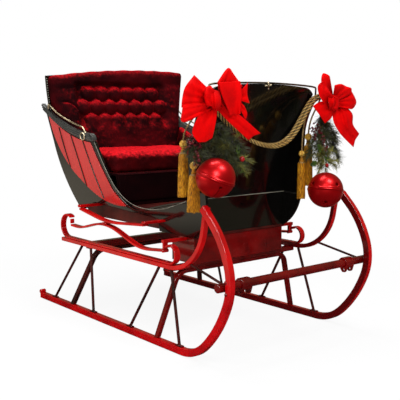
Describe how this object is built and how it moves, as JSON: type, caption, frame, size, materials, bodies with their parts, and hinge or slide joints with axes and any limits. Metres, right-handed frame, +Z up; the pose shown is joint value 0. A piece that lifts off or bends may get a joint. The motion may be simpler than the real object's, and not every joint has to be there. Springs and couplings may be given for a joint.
{
  "type": "horse drawn sleigh",
  "caption": "Horse-drawn sleigh with a curved hollow body on leaf springs over two upswept runners, a buttoned bench seat, a high dash and festive trimmings.",
  "frame": {"origin": "on the ground, under the middle of the runners' overall length and between them", "axes": "+X is the way it travels, +Y its left side, +Z up"},
  "size_m": [1.7378, 1.18, 1.3922],
  "materials": {
    "red_gloss": "high gloss enamel over steel-shod runners and rails",
    "red_wood": "high gloss red paint",
    "dark_iron": "dark gloss enamel",
    "black_gloss": "high gloss black paint",
    "maroon_gloss": "gloss dark maroon paint",
    "quarter_red": "gloss pinkish-red paint",
    "moulding": "gloss grey-green paint",
    "piping": "pale bright trim",
    "brass_rail": "polished",
    "velvet": "crushed velvet",
    "cushion_cloth": "plush",
    "ribbon_satin": "satin ribbon",
    "bell_red": "satin red enamel",
    "gold_cord": "twisted metallic cord",
    "gold_fringe": "silky fringe",
    "pine": "artificial pine and berries"
  },
  "bodies": {
    "root": {"runner_left": "red_gloss", "runner_right": "red_gloss", "rail_left": "red_gloss", "rail_right": "red_gloss", "strap_left": "red_gloss", "strap_right": "red_gloss", "lower_leaves": "red_gloss", "upper_leaves": "dark_iron", "spring_clips": "dark_iron", "front_hangers": "dark_iron", "rear_shackles": "dark_iron", "spring_brackets": "dark_iron", "braces_left": "red_gloss", "braces_right": "red_gloss", "rear_bow": "red_wood", "front_bow": "red_wood", "rear_bench": "red_wood", "front_bench": "red_wood", "bolster": "red_wood", "shaft_bar": "red_wood", "bar_stays": "red_gloss", "shaft_lugs": "dark_iron", "body_sills": "maroon_gloss", "floor_pan": "black_gloss", "side_panel_left": "black_gloss", "side_panel_right": "black_gloss", "entry_beads": "piping", "arm_rail_left": "moulding", "arm_rail_right": "moulding", "quarter_panel_left": "quarter_red", "quarter_panel_right": "quarter_red", "panel_ribs": "black_gloss", "back_panel": "black_gloss", "dash_panel": "black_gloss", "toe_panel": "black_gloss", "seat_box": "black_gloss", "seat_cushion": "cushion_cloth", "back_cushion": "velvet", "arm_pads": "velvet", "hand_rails": "brass_rail", "rein_rail": "brass_rail", "swag_rear": "gold_cord", "swag_front": "gold_cord", "tassel_cord_right_outer": "gold_cord", "tassel_cord_right_inner": "gold_cord", "tassel_cord_left_outer": "gold_cord", "tassel_cord_left_inner": "gold_cord", "tassels": "gold_fringe", "jingle_bells": "bell_red", "ribbon_left": "ribbon_satin", "ribbon_right": "ribbon_satin", "greenery_left": "pine", "greenery_right": "pine"}
  },
  "joints": []
}
